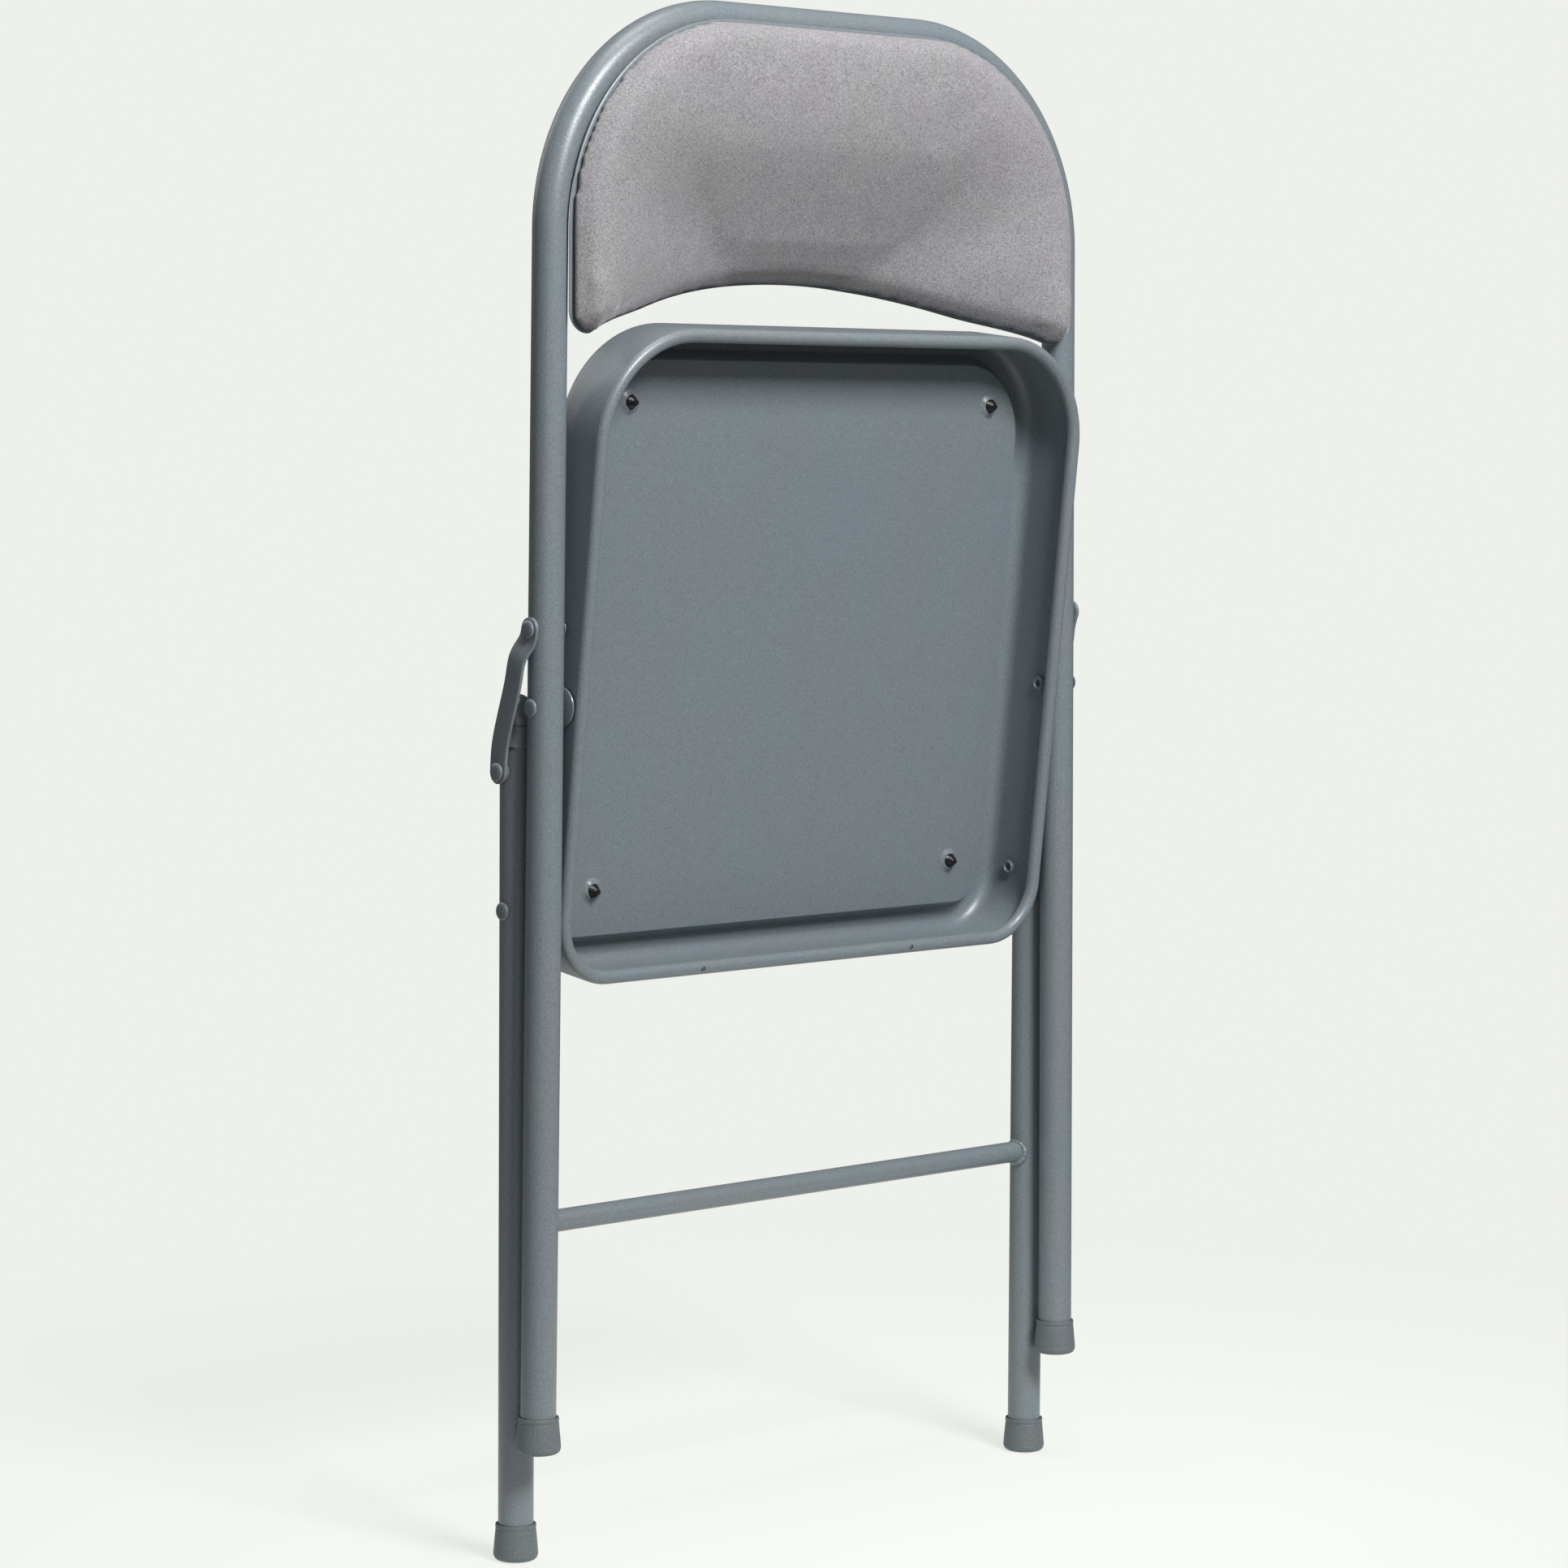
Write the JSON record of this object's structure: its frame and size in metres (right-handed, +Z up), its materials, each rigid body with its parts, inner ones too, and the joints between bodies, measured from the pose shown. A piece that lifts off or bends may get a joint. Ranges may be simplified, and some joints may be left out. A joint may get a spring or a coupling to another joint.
{
  "type": "folding chair",
  "caption": "Steel folding chair, folded flat: tubular frame, padded back panel, pressed seat pan with a padded top, and rear legs on pivoting straps.",
  "frame": {"origin": "on the floor under the middle of the folded chair's bounding box, between the rear feet", "axes": "+X to the sitter's left-right, mirror plane at X=0; +Y from the front of the chair to its back; +Z up"},
  "size_m": [0.4704, 0.1099, 0.9389],
  "materials": {
    "powder_coat": "satin blue-grey powder coat with a fine orange-peel texture",
    "foot_rubber": "matte dark blue-grey moulded rubber",
    "velvet": "short-pile grey-mauve velvet with a fine speckled nap",
    "hardboard": "raw brown hardboard, hidden under the fabric",
    "black_screw": "black-oxide screws",
    "nylon": "grey moulded nylon with a soft gloss"
  },
  "bodies": {
    "front_frame": {"front_frame": "powder_coat", "front_foot_left": "foot_rubber", "front_foot_right": "foot_rubber", "backrest_panel": "powder_coat", "backrest_board": "hardboard", "backrest_cushion": "velvet", "backrest_screw_1": "black_screw", "backrest_screw_2": "black_screw", "backrest_screw_3": "black_screw", "backrest_screw_4": "black_screw", "seat_rivet_left": "powder_coat", "seat_rivet_right": "powder_coat", "seat_spacer_left": "nylon", "seat_spacer_right": "nylon", "link_top_rivet_left": "powder_coat", "link_top_rivet_right": "powder_coat"},
    "seat": {"seat_pan": "powder_coat", "seat_board": "hardboard", "seat_cushion": "velvet", "seat_screw_1": "black_screw", "seat_screw_2": "black_screw", "seat_screw_3": "black_screw", "seat_screw_4": "black_screw"},
    "rear_frame": {"rear_leg_left": "powder_coat", "rear_leg_right": "powder_coat", "rear_crossbar": "powder_coat", "rear_leg_cap_left": "nylon", "rear_leg_cap_right": "nylon", "rear_foot_left": "foot_rubber", "rear_foot_right": "foot_rubber", "leg_rivet_left": "powder_coat", "leg_rivet_right": "powder_coat", "leg_spacer_left": "nylon", "leg_spacer_right": "nylon", "link_washer_left": "nylon", "link_washer_right": "nylon"},
    "link_left": {"link_left": "powder_coat", "link_bottom_rivet_left": "powder_coat"},
    "link_right": {"link_right": "powder_coat", "link_bottom_rivet_right": "powder_coat"}
  },
  "joints": [
    {"name": "seat_fold", "type": "hinge", "parent": "front_frame", "child": "seat", "pos_m": [0, -0.01428, 0.5147], "axis": [1, 0, 0], "range_deg": [0, 108]},
    {"name": "rear_frame_fold", "type": "hinge", "parent": "seat", "child": "rear_frame", "pos_m": [0, 0.01072, 0.3923], "axis": [1, 0, 0], "range_deg": [-63.5, 0.5]},
    {"name": "link_left_swing", "type": "hinge", "parent": "front_frame", "child": "link_left", "pos_m": [-0.22747, -0.01428, 0.5612], "axis": [1, 0, 0], "range_deg": [-0.5, 130.5]},
    {"name": "link_right_swing", "type": "hinge", "parent": "front_frame", "child": "link_right", "pos_m": [0.22747, -0.01428, 0.5612], "axis": [1, 0, 0], "range_deg": [-0.5, 130.5]}
  ],
  "couplings": [
    {"joint": "rear_frame_fold", "follows": "seat_fold", "ratio": -0.58251},
    {"joint": "link_left_swing", "follows": "seat_fold", "ratio": 1.2023},
    {"joint": "link_right_swing", "follows": "seat_fold", "ratio": 1.2023}
  ]
}
